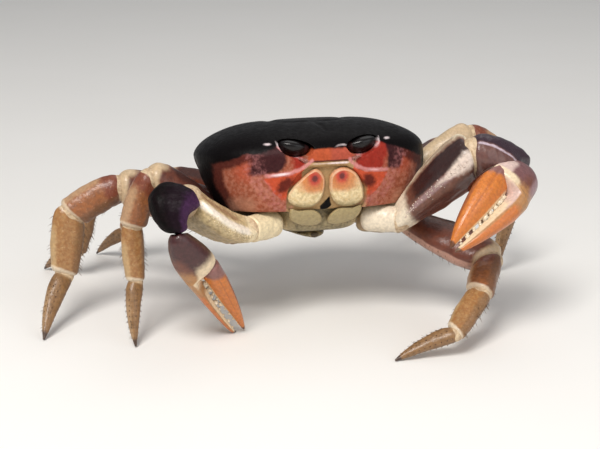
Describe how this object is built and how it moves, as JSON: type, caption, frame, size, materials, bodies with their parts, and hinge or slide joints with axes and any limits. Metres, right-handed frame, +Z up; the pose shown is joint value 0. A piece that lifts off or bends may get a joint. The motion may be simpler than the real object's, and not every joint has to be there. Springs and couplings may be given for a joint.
{
  "type": "land crab",
  "caption": "Still life-size land crab with a black and red shell, standing on its walking legs with both claws held in front.",
  "frame": {"origin": "middle of the underside of the bounding box, on the floor that the legs stand on", "axes": "+Z up, the crab faces -Y, and its left side is +X"},
  "size_m": [0.1768, 0.1326, 0.0669],
  "materials": {
    "shell_black": "near-black back shading to red-brown on the face and flanks, satin shell",
    "shell_cream": "mottled greenish cream underside, satin shell",
    "mouth_plate": "cream mouth plates with an orange-red patch, satin shell",
    "eye_black": "wet black eye",
    "arm_purple": "purple-brown claw arms with lilac and cream edges, satin shell",
    "claw_orange": "orange fingers with cream biting edges and dark tips, satin shell",
    "leg_brown": "red-brown upper legs with pale edges, satin shell",
    "leg_tan": "tan lower legs with cream joints, satin shell"
  },
  "bodies": {
    "root": {"abdomen": "shell_cream", "antenna_left": "leg_tan", "antenna_right": "leg_tan", "arm_left_carpus": "arm_purple", "arm_left_merus": "arm_purple", "arm_right_carpus": "arm_purple", "arm_right_merus": "arm_purple", "carapace": "shell_black", "claw_left_finger": "claw_orange", "claw_left_palm": "arm_purple", "claw_right_finger": "claw_orange", "claw_right_palm": "arm_purple", "eye_left": "eye_black", "eye_right": "eye_black", "leg2_left_carpus": "leg_brown", "leg2_left_dactyl": "leg_tan", "leg2_left_merus": "leg_brown", "leg2_left_propodus": "leg_tan", "leg2_right_carpus": "leg_brown", "leg2_right_dactyl": "leg_tan", "leg2_right_merus": "leg_brown", "leg2_right_propodus": "leg_tan", "leg3_left_carpus": "leg_brown", "leg3_left_dactyl": "leg_tan", "leg3_left_merus": "leg_brown", "leg3_left_propodus": "leg_tan", "leg3_right_carpus": "leg_brown", "leg3_right_dactyl": "leg_tan", "leg3_right_merus": "leg_brown", "leg3_right_propodus": "leg_tan", "leg4_left_carpus": "leg_brown", "leg4_left_dactyl": "leg_tan", "leg4_left_merus": "leg_brown", "leg4_left_propodus": "leg_tan", "leg4_right_carpus": "leg_brown", "leg4_right_dactyl": "leg_tan", "leg4_right_merus": "leg_brown", "leg4_right_propodus": "leg_tan", "leg5_left_carpus": "leg_brown", "leg5_left_dactyl": "leg_tan", "leg5_left_merus": "leg_brown", "leg5_left_propodus": "leg_tan", "leg5_right_carpus": "leg_brown", "leg5_right_dactyl": "leg_tan", "leg5_right_merus": "leg_brown", "leg5_right_propodus": "leg_tan", "maxilliped_left": "mouth_plate", "maxilliped_right": "mouth_plate", "sternum": "shell_cream"}
  },
  "joints": []
}
